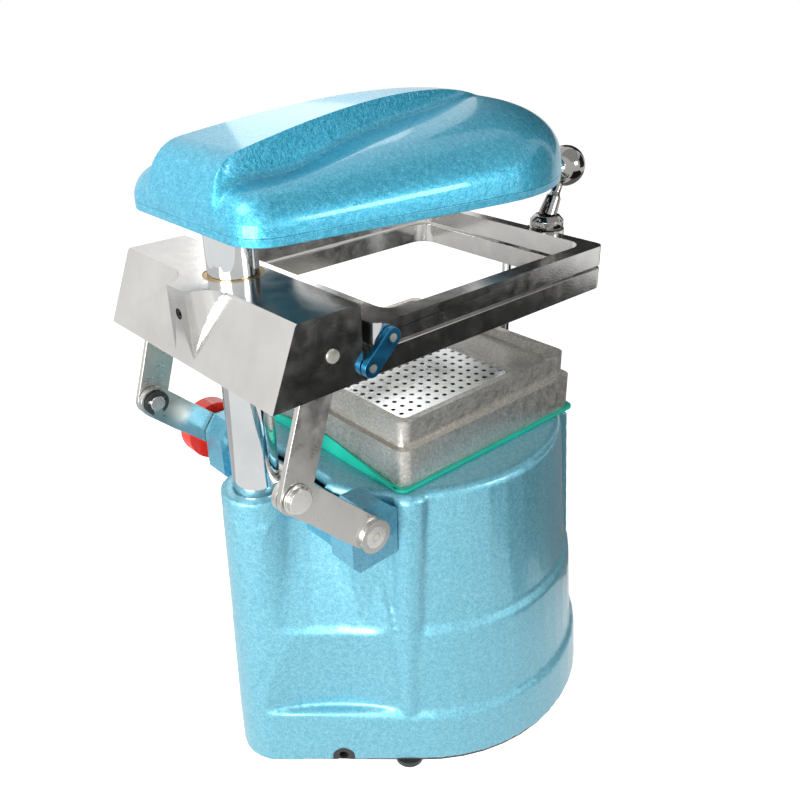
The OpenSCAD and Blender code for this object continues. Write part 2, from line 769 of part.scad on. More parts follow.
// Height limit that rounds the rear face and the nose
function rear_cap(y) = y < 97 ? 1 : pow(max(0, 1 - pow((y - 97) / 18.2, 2.4)), 0.42);
function far(x, y) = y < dome_c ? sqrt(x * x + pow(y - dome_c, 2)) / dome_half : abs(x) / plan_w(y);
function bulge(e) = pow(max(0, 1 - pow(min(e, 1), 3.4)), 0.42);
function saddle(y) = 341.5 + 14 * min(1, max(0, (105 - y) / 165));
function base_z(x, y) = seam_z + (saddle(y) - seam_z) * bulge(far(x, y)) * rear_cap(y);
function ridge_z(y) = seam_z + (crest_z(y) - seam_z) * bulge(far(0, y)) * rear_cap(y);
function hollow(x, y) = 5 * exp(-pow((y - 74) / 26, 2)) * exp(-pow((x - crest_w(y) - 7) / 9, 2))
    * bulge(far(x, y));

// One cross section of the dome from edge to edge, inset by t, with a skirt below the seam if inset
function inner_z(z, t) = t == 0 ? z
    : seam_z + 0.4 + (sqrt(pow(z - seam_z - t, 2) + 4) + z - seam_z - t) / 2;
function spans(y, t) = let(w = plan_w(y) - t, c = min(crest_w(y) - t * 0.3, w * 0.5))
    concat([0, c * 0.5, c, min(c + 2.6, w * 0.56)],
        [for (k = [1:10]) let(a = min(c + 2.6, w * 0.56)) a + (w - a) * sin(k * 9)]);
function lift(x, y, k) = k < 3 ? max(ridge_z(y), base_z(0, y)) : base_z(x, y) - hollow(x, y);
function half_section(y, t) = let(s = spans(y, t)) [for (k = [0:13])
    [s[k], inner_z(lift(s[k] * plan_w(y) / (plan_w(y) - t), y, k), t)]];
function section(y, t) = let(h = half_section(y, t), low = t > 0 ? seam_z - 3 : seam_z,
    skirt = t > 0 ? [[h[13][0], low]] : [])
    concat([[0, low]], skirt, [for (k = [13:-1:0]) h[k]], [for (k = [1:13]) [-h[k][0], h[k][1]]],
        [for (p = skirt) [-p[0], p[1]]]);
function station(i, y0, y1) = y0 + (y1 - y0) * (1 - cos(180 * i / dome_steps)) / 2;

// Skin through all cross sections, closed at both ends by fans from the middle of the bottom
module dome_loft(t) {
    y0 = dome_front + 0.3 + 1.5 * t;
    y1 = dome_rear - 0.02 - 1.5 * t;
    n = t > 0 ? 30 : 28;
    pts = [for (i = [0:dome_steps]) let(y = station(i, y0, y1)) for (p = section(y, t)) [p[0], y, p[1]]];
    sides = [for (i = [0:dome_steps - 1], k = [0:n - 1]) each
        let(a = i * n + k, b = i * n + (k + 1) % n, c = a + n, d = b + n) [[a, b, d], [a, d, c]]];
    ends = [for (k = [1:n - 2]) each let(e = dome_steps * n) [[0, k + 1, k], [e, e + k, e + k + 1]]];
    polyhedron(points = pts, faces = concat(sides, ends), convexity = 6);
}

module dome_plan(t) {
    y0 = dome_front + 0.3 + t;
    y1 = dome_rear - t;
    right = [for (i = [0:dome_steps]) let(y = station(i, y0, y1)) [plan_w(y) - t, y]];
    left = [for (i = [dome_steps:-1:0]) let(y = station(i, y0, y1)) [-plan_w(y) + t, y]];
    polygon(concat(right, left));
}

module dome_cover() {
    color([0.36, 0.72, 0.82]) difference() {
        union() {
            difference() {
                dome_loft(0);
                dome_loft(dome_wall);
            }
            intersection() {
                dome_loft(1);
                translate([0, rear_c[1], seam_z]) cylinder(h = 40, r = 18);
            }
        }
        translate([0, rear_c[1], seam_z - 5]) cylinder(h = 13.5, r = 14.02);
    }
}

module dome_rim() {
    color([0.34, 0.69, 0.8]) difference() {
        translate([0, 0, rim_z]) linear_extrude(seam_z - rim_z - 0.1) dome_plan(0);
        translate([0, 0, rim_z - 1]) linear_extrude(10) dome_plan(dome_wall + 0.5);
    }
}

module dome_bush() {
    color([0.72, 0.55, 0.28]) translate([0, rear_c[1], 0]) difference() {
        translate([0, 0, 319.5]) union() {
            cylinder(h = 2.6, r = 18);
            cylinder(h = 11.2, r = 14);
        }
        translate([0, 0, 310]) cylinder(h = 40, r = post_r + 0.05, $fn = fine);
    }
}

module heat_reflector() {
    color([0.86, 0.87, 0.88]) translate([0, tray_y, 0]) difference() {
        rotate_extrude($fn = fine)
            polygon([[0, 338], [38, 337], [54, 330], [58, 321], [62, 320.4], [62, 319.4], [57.2, 319.4],
                [53, 329], [37.6, 336], [0, 337]]);
        for (x = [-8, 8]) translate([x, sqrt(1600 - 64), 330]) cylinder(h = 12, r = 2.5, $fn = 24);
    }
}

module heater_coil() {
    color([0.3, 0.26, 0.25]) translate([0, tray_y, 328]) {
        for (r = [16, 28, 40]) rotate_extrude($fn = 64) translate([r, 0]) circle(r = 2.6, $fn = 24);
        translate([0, 16, 0]) rotate([-90, 0, 0]) cylinder(h = 24, r = 2.4, $fn = 24);
        for (x = [-8, 8]) translate([x, sqrt(1600 - 64), 0]) cylinder(h = 12, r = 2.2, $fn = 24);
    }
}

module coil_holders() {
    color([0.9, 0.88, 0.82]) translate([0, tray_y, 0]) for (a = [30, 150, 270]) rotate([0, 0, a])
        difference() {
            translate([12, -4, 330.8]) cube([29.5, 8, 3]);
            translate([0, 0, 328]) for (r = [16, 28, 40]) rotate_extrude($fn = 48)
                translate([r, 0]) circle(r = 2.9, $fn = 24);
        }
}

body_casting();
base_plate();
rubber_feet();
cord_grommet();
post();
post_bolt();
guide_rod();
left_bracket();
right_bracket();
bracket_screws();
motor_can();
blower_housing();
inlet_seal();
blower_studs();
blower_impeller();
tray_gasket();
vacuum_tray();
perforated_plate();
heat_switch_case();
vacuum_switch_case();
heat_rocker();
vacuum_rocker();
carriage();
carriage_bush();
lower_frame();
detent_plunger();
link_pivot_screws();
lower_hinge_screws();
crank_shaft();
left_crank();
right_crank();
crank_pins();
pin_clips();
shaft_end_screws();
lift_handle();
left_link();
right_link();
left_hinge_plate();
right_hinge_plate();
upper_hinge_screws();
upper_frame();
frame_lug();
clamp_hub();
clamp_lever();
clamp_ball();
dome_cover();
dome_rim();
dome_bush();
heat_reflector();
heater_coil();
coil_holders();
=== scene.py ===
import json
import math

import bmesh
import bpy
import numpy as np
from mathutils import Matrix, Vector
from mathutils.bvhtree import BVHTree


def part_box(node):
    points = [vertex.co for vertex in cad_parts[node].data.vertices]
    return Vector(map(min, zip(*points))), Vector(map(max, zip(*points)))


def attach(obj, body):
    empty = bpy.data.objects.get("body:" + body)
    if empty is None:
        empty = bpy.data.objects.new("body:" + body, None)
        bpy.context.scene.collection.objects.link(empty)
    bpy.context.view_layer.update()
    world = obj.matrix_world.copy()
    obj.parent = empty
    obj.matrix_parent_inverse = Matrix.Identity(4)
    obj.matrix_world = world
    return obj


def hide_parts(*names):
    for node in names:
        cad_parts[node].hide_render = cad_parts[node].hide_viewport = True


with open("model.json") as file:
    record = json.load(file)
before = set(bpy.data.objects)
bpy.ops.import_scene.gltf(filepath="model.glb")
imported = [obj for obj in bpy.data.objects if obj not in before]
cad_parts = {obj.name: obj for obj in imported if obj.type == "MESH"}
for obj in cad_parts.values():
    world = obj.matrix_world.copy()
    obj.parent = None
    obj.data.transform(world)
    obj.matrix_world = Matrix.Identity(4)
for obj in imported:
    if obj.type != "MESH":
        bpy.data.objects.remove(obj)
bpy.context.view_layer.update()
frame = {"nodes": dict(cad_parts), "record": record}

mm = 0.001
scene = bpy.context.scene
nodes = frame["nodes"]
bodyOf = {n: b for b, names in frame["record"]["behaviour"]["bodies"].items() for n in names}
slotOf = {s["node"]: s["material_slot"] for s in frame["record"]["subparts"]}

camera = {
    "place": (-0.3220, 0.2796, 0.4148),   # metres
    "azimuth": 228.48,                    # degrees
    "elevation": 27.17,
    "roll": -1.15,
    "lens": 38.21,                        # mm, on a 36 mm sensor
    "sensor": 36,
}


def makeCamera(v):
    a, e, r = (math.radians(v[k]) for k in ("azimuth", "elevation", "roll"))
    back = Vector((math.sin(a) * math.cos(e), -math.cos(a) * math.cos(e), math.sin(e)))
    right = Vector((math.cos(a), math.sin(a), 0))
    up = back.cross(right)
    turned = right * math.cos(r) + up * math.sin(r)
    raised = -right * math.sin(r) + up * math.cos(r)
    data = bpy.data.cameras.new("camera")
    data.lens = v["lens"]
    data.sensor_width = v["sensor"]
    data.clip_start = 0.01
    obj = bpy.data.objects.new("camera", data)
    obj.matrix_world = Matrix((turned, raised, back)).transposed().to_4x4()
    obj.location = v["place"]
    scene.collection.objects.link(obj)
    scene.camera = obj


makeCamera(camera)
print("camera set")


class Shader:
    # a small helper round one material's node tree
    def __init__(self, name):
        self.mat = bpy.data.materials.new(name)
        self.mat.use_nodes = True
        self.tree = self.mat.node_tree
        self.bsdf = self.tree.nodes["Principled BSDF"]
        self.coords = self.add("ShaderNodeTexCoord").outputs["Object"]

    def add(self, kind, **values):
        node = self.tree.nodes.new(kind)
        for key, value in values.items():
            setattr(node, key, value)
        return node

    def link(self, a, b):
        self.tree.links.new(a, b)

    def set(self, **values):
        for key, value in values.items():
            self.bsdf.inputs[key.replace("_", " ")].default_value = value

    def noise(self, scale, detail=2.0, rough=0.5, stretch=None):
        node = self.add("ShaderNodeTexNoise")
        node.inputs["Scale"].default_value = scale
        node.inputs["Detail"].default_value = detail
        node.inputs["Roughness"].default_value = rough
        source = self.coords
        if stretch:
            mapping = self.add("ShaderNodeMapping")
            mapping.inputs["Scale"].default_value = stretch
            self.link(self.coords, mapping.inputs["Vector"])
            source = mapping.outputs["Vector"]
        self.link(source, node.inputs["Vector"])
        return node.outputs["Fac"]

    def ramp(self, value, stops):
        node = self.add("ShaderNodeValToRGB")
        points = node.color_ramp.elements
        while len(points) < len(stops):
            points.new(0.5)
        for point, (place, colour) in zip(points, stops):
            point.position = place
            if not isinstance(colour, tuple):
                colour = (colour,) * 3
            point.color = (*colour, 1)
        self.link(value, node.inputs["Fac"])
        return node.outputs["Color"]

    def bump(self, *layers):
        normal = None
        for height, strength, distance in layers:
            node = self.add("ShaderNodeBump")
            node.inputs["Strength"].default_value = strength
            node.inputs["Distance"].default_value = distance
            self.link(height, node.inputs["Height"])
            if normal:
                self.link(normal, node.inputs["Normal"])
            normal = node.outputs["Normal"]
        self.link(normal, self.bsdf.inputs["Normal"])

    def colour(self, value):
        self.link(value, self.bsdf.inputs["Base Color"])

    def roughness(self, value):
        self.link(value, self.bsdf.inputs["Roughness"])


hammer = {
    "flakes": 1500,       # fineness of the small flakes, per metre
    "clouds": 420,        # of the larger ones
    "flakeShare": 0.65,   # how much of the colour the small ones give
    "swell": 55,          # of the slow waves in the paint
}


def hammerPaint(name, deep, mid, light, peel=0.16):
    # metallic flakes in two sizes under a clear coat, peel is the relief of the larger ones
    s = Shader(name)
    flakes = s.noise(hammer["flakes"], 2.0, 0.6)
    clouds = s.noise(hammer["clouds"], 3.0, 0.6)
    both = s.add("ShaderNodeMath", operation="MULTIPLY_ADD")
    both.inputs[1].default_value = hammer["flakeShare"]
    s.link(flakes, both.inputs[0])
    share = s.add("ShaderNodeMath", operation="MULTIPLY")
    share.inputs[1].default_value = 1 - hammer["flakeShare"]
    s.link(clouds, share.inputs[0])
    s.link(share.outputs[0], both.inputs[2])
    grain = both.outputs[0]
    s.colour(s.ramp(grain, [(0.36, deep), (0.5, mid), (0.64, light)]))
    s.set(Metallic=0.6, Coat_Weight=0.6, Coat_Roughness=0.09)
    s.roughness(s.ramp(grain, [(0.35, 0.36), (0.65, 0.5)]))
    s.bump((flakes, 0.22, 0.0002), (clouds, peel, 0.0005), (s.noise(hammer["swell"], 1.0, 0.5), 0.06, 0.001))
    return s.mat


def platedMetal(name, colour, rough, wave=0.1, specks=0.25):
    # polished or plated metal, wave is its slow unevenness and specks its fine pits
    s = Shader(name)
    tint = tuple(c * 0.9 for c in colour)
    s.colour(s.ramp(s.noise(35, 3.0, 0.6), [(0.35, tint), (0.65, colour)]))
    s.set(Metallic=1.0)
    s.roughness(s.ramp(s.noise(140, 4.0, 0.6), [(0.3, rough * 0.8), (0.75, rough * 1.35)]))
    s.bump((s.noise(45, 2.0, 0.5), wave, 0.0006), (s.noise(900, 2.0, 0.5), specks, 0.00008))
    return s.mat


def castMetal(name, dark, light, rough):
    # bare sand casting
    s = Shader(name)
    s.colour(s.ramp(s.noise(700, 4.0, 0.65), [(0.3, dark), (0.7, light)]))
    s.set(Metallic=0.92)
    s.roughness(s.ramp(s.noise(250, 3.0, 0.6), [(0.3, rough * 0.85), (0.75, rough * 1.25)]))
    s.bump((s.noise(800, 3.0, 0.6), 0.5, 0.0003), (s.noise(70, 2.0, 0.5), 0.2, 0.0008))
    return s.mat


def plainPlastic(name, colour, rough, coat=0.0, grain=0.1):
    s = Shader(name)
    deep = tuple(c * 0.82 for c in colour)
    s.colour(s.ramp(s.noise(60, 2.0, 0.5), [(0.3, deep), (0.7, colour)]))
    s.set(Coat_Weight=coat, Coat_Roughness=0.06)
    s.roughness(s.ramp(s.noise(300, 2.0, 0.5), [(0.3, rough * 0.85), (0.7, rough * 1.15)]))
    s.bump((s.noise(900, 2.0, 0.5), grain, 0.0001))
    return s.mat


# by material slot, with two of the scene's own for the dome and the clamp: darker copies of the body paint
# and the chrome, with painted shade in their colour
finishes = {
    "body_paint": hammerPaint("bluePaint", (0.10, 0.38, 0.50), (0.17, 0.48, 0.60), (0.28, 0.60, 0.71)),
    # the dome's paint is the body's paint made darker and deeper blue: painted shade in its colour
    "shaded_dome_paint": hammerPaint("shadedDomePaint", (0.02, 0.30, 0.46), (0.05, 0.41, 0.59), (0.14, 0.55, 0.73), 0.6),
    "bracket_paint": hammerPaint("bracketBlue", (0.06, 0.30, 0.44), (0.11, 0.39, 0.54), (0.18, 0.49, 0.64)),
    "plated_casting": platedMetal("platedCasting", (0.70, 0.69, 0.67), 0.16),
    "raw_casting": castMetal("sandCasting", (0.36, 0.35, 0.32), (0.66, 0.64, 0.60), 0.42),
    "mirror_chrome": platedMetal("mirrorChrome", (0.72, 0.74, 0.75), 0.05, 0.03, 0.05),
    # a darker copy of the chrome for the clamp: painted shade, a dark reflection put into its colour
    "shaded_ball_chrome": platedMetal("shadedBallChrome", (0.40, 0.39, 0.37), 0.08, 0.02, 0.05),
    "bar_steel": platedMetal("barSteel", (0.62, 0.61, 0.58), 0.3, 0.06, 0.3),
    "bright_steel": platedMetal("brightSteel", (0.76, 0.75, 0.72), 0.2, 0.05, 0.2),
    "zinc_screw": platedMetal("zincScrew", (0.90, 0.88, 0.78), 0.34, 0.05, 0.2),
    "dark_steel": platedMetal("darkSteel", (0.10, 0.10, 0.10), 0.35, 0.05, 0.2),
    "blue_plate": platedMetal("bluePlate", (0.03, 0.22, 0.42), 0.3, 0.05, 0.2),
    "stainless": platedMetal("stainlessSheet", (0.90, 0.92, 0.91), 0.2, 0.05, 0.2),
    "silicone": plainPlastic("tealSilicone", (0.0, 0.50, 0.36), 0.4),
    "black_rubber": plainPlastic("blackRubber", (0.025, 0.025, 0.025), 0.6),
    "red_plastic": plainPlastic("redPlastic", (0.90, 0.03, 0.012), 0.3, 0.3, 0.05),
    "red_rocker": plainPlastic("redRocker", (0.62, 0.02, 0.015), 0.2, 0.6, 0.03),
    "green_rocker": plainPlastic("greenRocker", (0.02, 0.33, 0.08), 0.2, 0.6, 0.03),
    "black_plastic": plainPlastic("blackPlastic", (0.02, 0.02, 0.02), 0.35),
    "bronze": platedMetal("bronzeBush", (0.66, 0.45, 0.20), 0.32),
    "base_steel": plainPlastic("basePaint", (0.035, 0.036, 0.04), 0.5),
    "motor_metal": platedMetal("motorZinc", (0.48, 0.49, 0.51), 0.35),
    "heater_metal": platedMetal("heaterSheath", (0.16, 0.13, 0.12), 0.5),
    "ceramic": plainPlastic("ceramic", (0.82, 0.79, 0.72), 0.3, 0.3),
    "reflector_metal": platedMetal("polishedAluminium", (0.86, 0.87, 0.88), 0.12),
}
print("materials made:", len(finishes))


def finishMesh(obj, angle):
    # smooth faces, with creases where they meet at more than the angle
    mesh = obj.data
    mesh.polygons.foreach_set("use_smooth", [True] * len(mesh.polygons))
    mesh.set_sharp_from_angle(angle=math.radians(angle))
    mesh.update()


def placePiece(obj, body, slot, replaced, finish=None):
    obj.data.materials.clear()
    obj.data.materials.append(finishes[finish or slot])
    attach(obj, body)
    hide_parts(replaced)


def triangleCount(obj):
    return sum(len(f.vertices) - 2 for f in obj.data.polygons)


def mergePoints(mesh, distance):
    bm = bmesh.new()
    bm.from_mesh(mesh)
    bmesh.ops.remove_doubles(bm, verts=bm.verts, dist=distance)
    return bm


def keepMesh(bm, mesh):
    bm.to_mesh(mesh)
    bm.free()


def applyAll(obj):
    # turns the evaluated object into a plain mesh
    evaluated = obj.evaluated_get(bpy.context.evaluated_depsgraph_get())
    mesh = bpy.data.meshes.new_from_object(evaluated)
    obj.modifiers.clear()
    old = obj.data
    obj.data = mesh
    bpy.data.meshes.remove(old)


def meshObject(name, verts, faces):
    mesh = bpy.data.meshes.new(name)
    mesh.from_pydata([tuple(v) for v in verts], [], faces)
    mesh.update()
    obj = bpy.data.objects.new(name, mesh)
    scene.collection.objects.link(obj)
    return obj


class Tree:
    # a small helper round one Geometry Nodes tree
    def __init__(self, name, inputs):
        self.tree = bpy.data.node_groups.new(name, "GeometryNodeTree")
        face = self.tree.interface
        face.new_socket(name="Geometry", in_out="INPUT", socket_type="NodeSocketGeometry")
        for label, kind in inputs:
            face.new_socket(name=label, in_out="INPUT", socket_type="NodeSocket" + kind)
        face.new_socket(name="Geometry", in_out="OUTPUT", socket_type="NodeSocketGeometry")
        self.source = self.add("NodeGroupInput")
        self.sink = self.add("NodeGroupOutput")

    def add(self, kind, **values):
        node = self.tree.nodes.new(kind)
        for key, value in values.items():
            setattr(node, key, value)
        return node

    def wire(self, node, **sources):
        # sockets by name, a number is set as a value
        for key, source in sources.items():
            socket = node.inputs[int(key[1:])] if key[0] == "_" else node.inputs[key.replace("_", " ")]
            if isinstance(source, bpy.types.NodeSocket):
                self.tree.links.new(source, socket)
            else:
                socket.default_value = source
        return node

    def maths(self, operation, a, b=0.0):
        return self.wire(self.add("ShaderNodeMath", operation=operation), _0=a, _1=b).outputs[0]

    def vector(self, x=0.0, y=0.0, z=0.0):
        return self.wire(self.add("ShaderNodeCombineXYZ"), X=x, Y=y, Z=z).outputs[0]

    def finish(self, geometry, material):
        real = self.wire(self.add("GeometryNodeRealizeInstances"), Geometry=geometry)
        last = self.wire(self.add("GeometryNodeSetMaterial"), Geometry=real.outputs[0], Material=material)
        self.wire(self.sink, Geometry=last.outputs[0])


def growPiece(name, verts, tree, values, body, slot, replaced):
    # runs a tree on a few points and keeps the plain mesh that it makes
    obj = meshObject(name, verts, [])
    grow = obj.modifiers.new("grow", "NODES")
    grow.node_group = tree.tree
    for item in tree.tree.interface.items_tree:
        if item.in_out == "INPUT" and item.name in values:
            grow[item.identifier] = values[item.name]
    applyAll(obj)
    finishMesh(obj, 38)
    placePiece(obj, body, slot, replaced)
    return obj


def copyNode(name, piece):
    obj = bpy.data.objects.new(piece, nodes[name].data.copy())
    scene.collection.objects.link(obj)
    return obj


def dressNode(name, piece, edge, finish=None, angle=32, segments=3):
    # copy of a CAD node with merged faces and softened edges
    obj = copyNode(name, piece)
    bm = mergePoints(obj.data, 2e-6)
    bmesh.ops.dissolve_limit(bm, angle_limit=math.radians(0.8), verts=bm.verts, edges=bm.edges)
    keepMesh(bm, obj.data)
    if edge:
        bevel = obj.modifiers.new("edge", "BEVEL")
        bevel.width = edge * mm
        bevel.segments = segments
        bevel.limit_method = "ANGLE"
        bevel.angle_limit = math.radians(angle)
        bevel.harden_normals = True
        bevel.use_clamp_overlap = True
        finishMesh(obj, angle)
        applyAll(obj)
    else:
        finishMesh(obj, angle)
    placePiece(obj, bodyOf[name], slotOf[name], name, finish)


# node: piece, width of its softened edges in mm, finish where it isn't the slot's own
dressed = {
    "left_bracket": ("leftBracket", 0.7),
    "right_bracket": ("rightBracket", 0.7),
    # the clamp's ball, hub and lever take the darker chrome, with painted shade in its colour
    "clamp_ball": ("clampBall", 0.0, "shaded_ball_chrome"),
    "vacuum_tray": ("trayCasting", 0.8),
    "carriage": ("carriageCasting", 0.6),
    "lower_frame": ("lowerFrame", 0.5),
    "upper_frame": ("upperFrame", 0.5),
    "frame_lug": ("frameLug", 0.5),
    "left_crank": ("leftCrank", 0.4),
    "right_crank": ("rightCrank", 0.4),
    "left_link": ("leftLink", 0.25),
    "right_link": ("rightLink", 0.25),
    "left_hinge_plate": ("leftHingePlate", 0.25),
    "right_hinge_plate": ("rightHingePlate", 0.25),
    "crank_pins": ("crankPins", 0.3),
    "lift_handle": ("liftHandle", 1.5),
    "clamp_hub": ("clampHub", 0.4, "shaded_ball_chrome"),
    "clamp_lever": ("clampLever", 0.4, "shaded_ball_chrome"),
    # the rim takes the dome's darker paint, with painted shade in its colour
    "dome_rim": ("domeRim", 0.4, "shaded_dome_paint"),
    "tray_gasket": ("trayGasket", 0.4),
}
for nodeName, values in dressed.items():
    dressNode(nodeName, *values)
print("pieces dressed:", len(dressed))


# sizes in mm, turn of the cross in degrees
screws = {
    "linkPivotScrews": {
        "node": "link_pivot_screws", "body": "lift_carriage", "headRadius": 6.4, "headHeight": 3.0,
        "crossWidth": 1.5, "crossTurn": 20, "shankRadius": 3.0, "shankLength": 3.0},
    "lowerHingeScrews": {
        "node": "lower_hinge_screws", "body": "lift_carriage", "headRadius": 3.6, "headHeight": 2.2,
        "crossWidth": 0.9, "crossTurn": 50, "shankRadius": 1.9, "shankLength": 9.0},
    "upperHingeScrews": {
        "node": "upper_hinge_screws", "body": "sheet_frame", "headRadius": 3.6, "headHeight": 2.2,
        "crossWidth": 0.9, "crossTurn": 15, "shankRadius": 1.9, "shankLength": 9.0},
    "shaftEndScrews": {
        "node": "shaft_end_screws", "body": "crank", "headRadius": 3.8, "headHeight": 2.6,
        "crossWidth": 0.9, "crossTurn": 35, "shankRadius": 1.9, "shankLength": 8.0},
}


def screwTree():
    # a crowned head with a cross recess and a shank, set on every point and turned outwards
    sizes = ("Head radius", "Head height", "Cross width", "Cross turn", "Shank radius", "Shank length")
    t = Tree("crossHeadScrews", [(label, "Float") for label in sizes] + [("Finish", "Material")])
    given = t.source.outputs
    ball = t.wire(t.add("GeometryNodeMeshUVSphere"), Segments=36, Rings=20, Radius=given["Head radius"])
    flat = t.maths("DIVIDE", given["Head height"], given["Head radius"])
    crown = t.wire(t.add("GeometryNodeTransform"), Geometry=ball.outputs["Mesh"],
                   Scale=t.vector(1.0, 1.0, flat))
    length = t.maths("MULTIPLY", given["Head radius"], 1.15)
    deep = t.maths("MULTIPLY", given["Head height"], 0.9)
    arms = t.add("GeometryNodeJoinGeometry")
    for turn in (0.0, math.pi / 2):
        arm = t.wire(t.add("GeometryNodeMeshCube"), Size=t.vector(length, given["Cross width"], deep))
        raised = t.wire(t.add("GeometryNodeTransform"), Geometry=arm.outputs["Mesh"],
                        Translation=t.vector(0.0, 0.0, given["Head height"]), Rotation=(0.0, 0.0, turn))
        t.tree.links.new(raised.outputs[0], arms.inputs[0])
    under = t.maths("MULTIPLY", given["Head radius"], 3.0)
    block = t.wire(t.add("GeometryNodeMeshCube"), Size=t.vector(under, under, under))
    low = t.wire(t.add("GeometryNodeTransform"), Geometry=block.outputs["Mesh"],
                 Translation=t.vector(0.0, 0.0, t.maths("MULTIPLY", under, -0.5)))
    cut = t.add("GeometryNodeMeshBoolean", operation="DIFFERENCE", solver="EXACT")
    t.wire(cut, _0=crown.outputs[0])
    cutters = t.add("GeometryNodeMeshBoolean", operation="UNION", solver="EXACT")
    t.tree.links.new(arms.outputs[0], cutters.inputs["Mesh 2"])
    t.tree.links.new(low.outputs[0], cutters.inputs["Mesh 2"])
    t.tree.links.new(cutters.outputs["Mesh"], cut.inputs["Mesh 2"])
    turned = t.wire(t.add("GeometryNodeTransform"), Geometry=cut.outputs["Mesh"],
                    Rotation=t.vector(0.0, 0.0, given["Cross turn"]))
    rod = t.wire(t.add("GeometryNodeMeshCylinder"), Vertices=24, Radius=given["Shank radius"],
                 Depth=given["Shank length"])
    shank = t.wire(t.add("GeometryNodeTransform"), Geometry=rod.outputs["Mesh"],
                   Translation=t.vector(0.0, 0.0, t.maths("MULTIPLY", given["Shank length"], -0.5)))
    whole = t.add("GeometryNodeJoinGeometry")
    for part in (turned, shank):
        t.tree.links.new(part.outputs[0], whole.inputs[0])
    place = t.wire(t.add("ShaderNodeSeparateXYZ"), Vector=t.add("GeometryNodeInputPosition").outputs[0])
    side = t.vector(t.maths("SIGN", place.outputs["X"]), 0.0, 0.0)
    aim = t.wire(t.add("FunctionNodeAlignRotationToVector", axis="Z"), Vector=side)
    spread = t.wire(t.add("GeometryNodeInstanceOnPoints"), Points=given["Geometry"],
                    Instance=whole.outputs[0], Rotation=aim.outputs[0])
    t.finish(spread.outputs[0], given["Finish"])
    return t


def makeScrews(table):
    tree = screwTree()
    for piece, v in table.items():
        low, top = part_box(v["node"])
        high = v["headHeight"] * mm
        y, z = (low[1] + top[1]) / 2, (low[2] + top[2]) / 2
        growPiece(piece, [(top[0] - high, y, z), (low[0] + high, y, z)], tree, {
            "Head radius": v["headRadius"] * mm, "Head height": high, "Cross width": v["crossWidth"] * mm,
            "Cross turn": math.radians(v["crossTurn"]), "Shank radius": v["shankRadius"] * mm,
            "Shank length": v["shankLength"] * mm, "Finish": finishes["zinc_screw"],
        }, v["body"], "zinc_screw", v["node"])


makeScrews(screws)
print("screws made:", len(screws))


plate = {
    "columns": 18,
    "rows": 13,
    "pitch": 6.0,       # mm
    "hole": 2.6,        # mm across
    "holeSides": 16,
    "firstRow": 33.6,   # mm, Y of the row nearest the post
    "thickness": 1.5,   # mm
}


def plateTree():
    # square cells with a round hole, merged into one sheet and given a thickness
    t = Tree("perforatedSheet", [("Columns", "Int"), ("Rows", "Int"), ("Hole sides", "Int"),
                                 ("Pitch", "Float"), ("Hole radius", "Float"), ("Width", "Float"),
                                 ("Depth", "Float"), ("Thickness", "Float"), ("Finish", "Material")])
    given = t.source.outputs
    ring = t.wire(t.add("GeometryNodeMeshCircle"), Vertices=given["Hole sides"], Radius=given["Hole radius"])
    skirt = t.wire(t.add("GeometryNodeExtrudeMesh", mode="EDGES"), Mesh=ring.outputs[0], Offset_Scale=0.0)
    place = t.wire(t.add("ShaderNodeSeparateXYZ"), Vector=t.add("GeometryNodeInputPosition").outputs[0])
    x, y = place.outputs["X"], place.outputs["Y"]
    larger = t.maths("MAXIMUM", t.maths("ABSOLUTE", x), t.maths("ABSOLUTE", y))
    grow = t.maths("DIVIDE", t.maths("MULTIPLY", given["Pitch"], 0.5), larger)
    square = t.vector(t.maths("MULTIPLY", x, grow), t.maths("MULTIPLY", y, grow), 0.0)
    cell = t.wire(t.add("GeometryNodeSetPosition"), Geometry=skirt.outputs["Mesh"],
                  Selection=skirt.outputs["Top"], Position=square)
    across = t.maths("MULTIPLY", t.maths("SUBTRACT", given["Columns"], 1.0), given["Pitch"])
    along = t.maths("MULTIPLY", t.maths("SUBTRACT", given["Rows"], 1.0), given["Pitch"])
    grid = t.wire(t.add("GeometryNodeMeshGrid"), Size_X=across, Size_Y=along,
                  Vertices_X=given["Columns"], Vertices_Y=given["Rows"])
    spread = t.wire(t.add("GeometryNodeInstanceOnPoints"), Points=grid.outputs["Mesh"],
                    Instance=cell.outputs[0])
    real = t.wire(t.add("GeometryNodeRealizeInstances"), Geometry=spread.outputs[0])
    joined = t.wire(t.add("GeometryNodeMergeByDistance"), Geometry=real.outputs[0], Distance=0.00002)
    # the outermost points go out to the sheet's edge
    place = t.wire(t.add("ShaderNodeSeparateXYZ"), Vector=t.add("GeometryNodeInputPosition").outputs[0])
    moved = []
    for axis, count, size in (("X", "Columns", "Width"), ("Y", "Rows", "Depth")):
        value = place.outputs[axis]
        limit = t.maths("MULTIPLY", t.maths("MULTIPLY", given[count], given["Pitch"]), 0.4999)
        outside = t.maths("GREATER_THAN", t.maths("ABSOLUTE", value), limit)
        edge = t.maths("MULTIPLY", t.maths("SIGN", value), t.maths("MULTIPLY", given[size], 0.5))
        step = t.maths("MULTIPLY", t.maths("SUBTRACT", edge, value), outside)
        moved.append(t.maths("ADD", value, step))
    sheet = t.wire(t.add("GeometryNodeSetPosition"), Geometry=joined.outputs[0],
                   Position=t.vector(moved[0], moved[1], 0.0))
    thick = t.wire(t.add("GeometryNodeExtrudeMesh", mode="FACES"), Mesh=sheet.outputs[0],
                   Offset=(0.0, 0.0, 1.0), Offset_Scale=given["Thickness"], Individual=False)
    back = t.wire(t.add("GeometryNodeFlipFaces"), Mesh=sheet.outputs[0])
    both = t.add("GeometryNodeJoinGeometry")
    for part in (thick, back):
        t.tree.links.new(part.outputs[0], both.inputs[0])
    closed = t.wire(t.add("GeometryNodeMergeByDistance"), Geometry=both.outputs[0], Distance=0.00002)
    seat = t.wire(t.add("GeometryNodeInstanceOnPoints"), Points=given["Geometry"], Instance=closed.outputs[0])
    t.finish(seat.outputs[0], given["Finish"])
    return t


